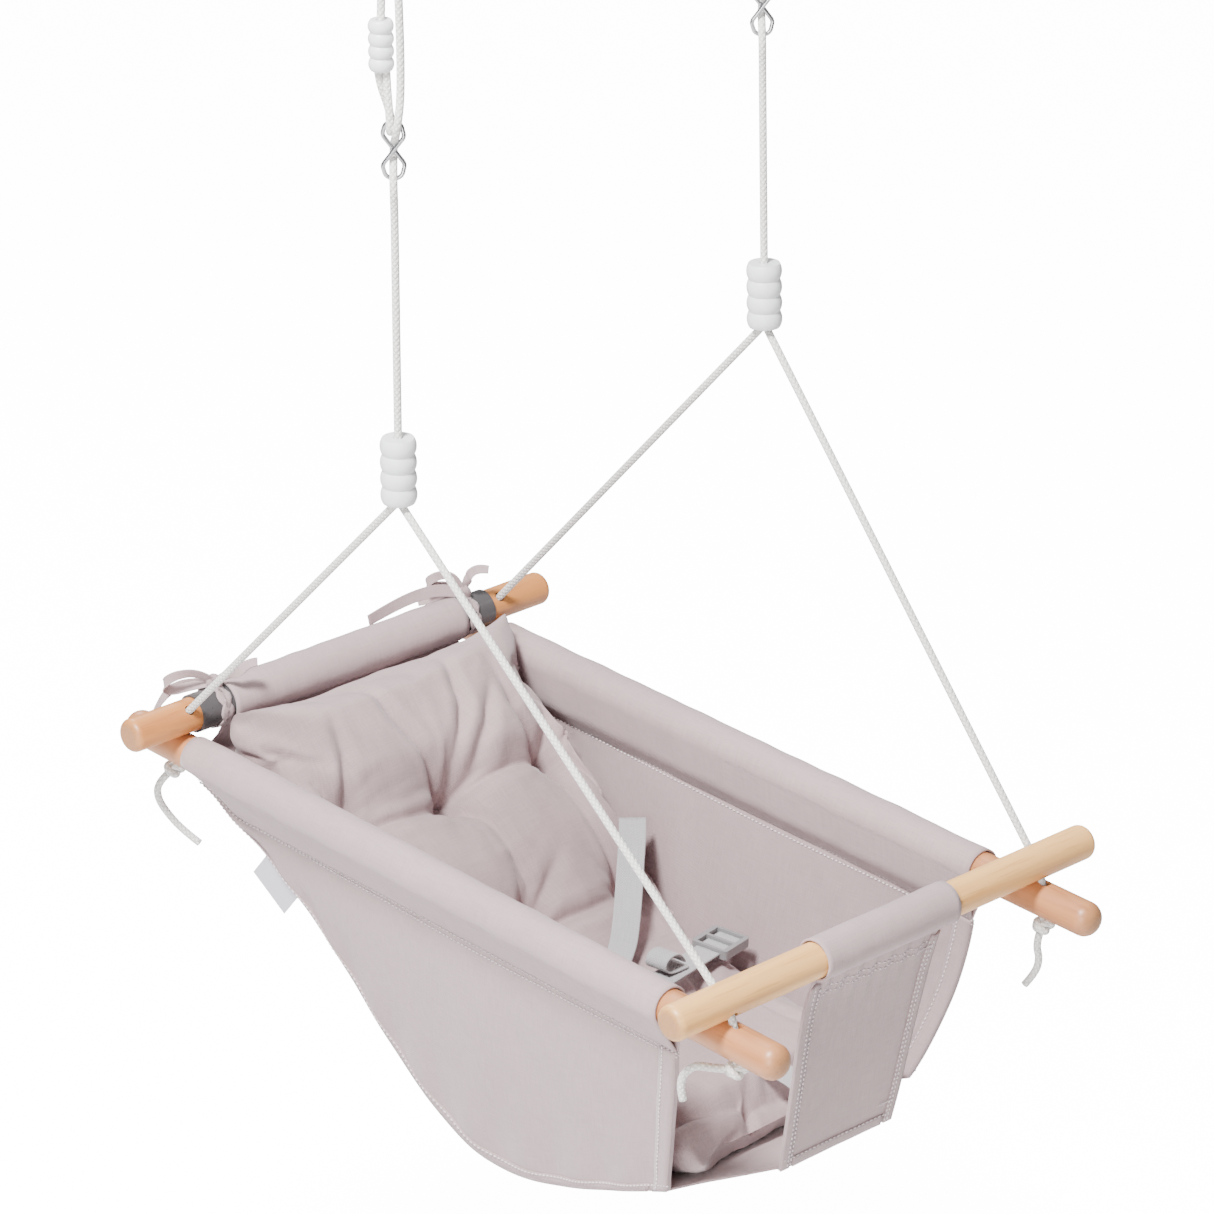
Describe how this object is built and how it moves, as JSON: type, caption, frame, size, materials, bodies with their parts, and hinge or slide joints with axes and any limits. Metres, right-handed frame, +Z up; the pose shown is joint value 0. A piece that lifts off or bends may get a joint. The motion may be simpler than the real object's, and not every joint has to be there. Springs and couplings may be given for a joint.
{
  "type": "toddler bucket swing",
  "caption": "Hanging toddler seat: canvas bucket with a padded cushion and harness on a beech dowel frame, hung by cords from rings with height-setting hooks",
  "frame": {"origin": "midway between the two hanging rings, level with the inside of their tops, where hooks would carry them", "axes": "+X to the right side of the seat, +Y to its back, +Z up"},
  "size_m": [0.4, 0.67, 0.9705],
  "materials": {
    "beech": "satin, straight grain",
    "rope": "matte braided cord",
    "canvas": "matte plain weave",
    "canvas_cushion": "matte plain weave over padding",
    "webbing": "matte woven tape",
    "label_cloth": "matte",
    "white_plastic": "satin, slightly translucent",
    "dark_plastic": "satin moulded",
    "button_plastic": "satin moulded",
    "tube_plastic": "satin, dark grey",
    "bright_steel": "polished wire"
  },
  "bodies": {
    "hanging_rings": {"left_ring": "bright_steel", "right_ring": "bright_steel"},
    "suspension": {"left_hanging_rope": "rope", "left_eye_rope": "rope", "left_small_bead": "white_plastic", "left_large_bead": "white_plastic", "left_hook": "bright_steel", "right_hanging_rope": "rope", "right_eye_rope": "rope", "right_small_bead": "white_plastic", "right_large_bead": "white_plastic", "right_hook": "bright_steel"},
    "seat": {"left_rail": "beech", "left_side_panel": "canvas", "left_cushion_tie": "canvas", "left_shoulder_strap": "webbing", "left_waist_strap": "webbing", "left_front_rope": "rope", "left_front_knot": "rope", "left_front_tail": "rope", "left_rear_rope": "rope", "left_rear_knot": "rope", "left_rear_tail": "rope", "right_rail": "beech", "right_side_panel": "canvas", "right_cushion_tie": "canvas", "right_shoulder_strap": "webbing", "right_waist_strap": "webbing", "right_front_rope": "rope", "right_front_knot": "rope", "right_front_tail": "rope", "right_rear_rope": "rope", "right_rear_knot": "rope", "right_rear_tail": "rope", "front_crossbar": "beech", "rear_crossbar": "beech", "rear_bar_tube": "tube_plastic", "seat_panel": "canvas", "crotch_panel": "canvas", "cushion": "canvas_cushion", "crotch_strap": "webbing", "buckle": "dark_plastic", "label": "label_cloth"},
    "release_button": {"release_button": "button_plastic"},
    "left_adjuster": {"left_adjuster": "dark_plastic"},
    "right_adjuster": {"right_adjuster": "dark_plastic"}
  },
  "joints": [
    {"name": "swing", "type": "hinge", "parent": "hanging_rings", "child": "suspension", "pos_m": [0, 0, -0.0325], "axis": [0.9936, -0.1126, 0], "range_deg": [-40, 40]},
    {"name": "seat_pitch", "type": "hinge", "parent": "suspension", "child": "seat", "pos_m": [0, -0.01795, -0.4272], "axis": [0.9695, -0.1367, 0.2036], "range_deg": [-18, 18]},
    {"name": "release", "type": "slide", "parent": "seat", "child": "release_button", "axis": [0, 0, -1], "range_m": [0, 0.0025], "stiffness_N_per_m": 400},
    {"name": "left_adjust", "type": "slide", "parent": "seat", "child": "left_adjuster", "axis": [0.9852, -0.1713, 0], "range_m": [0, 0.03]},
    {"name": "right_adjust", "type": "slide", "parent": "seat", "child": "right_adjuster", "axis": [-0.9852, -0.1713, 0], "range_m": [0, 0.03]}
  ]
}
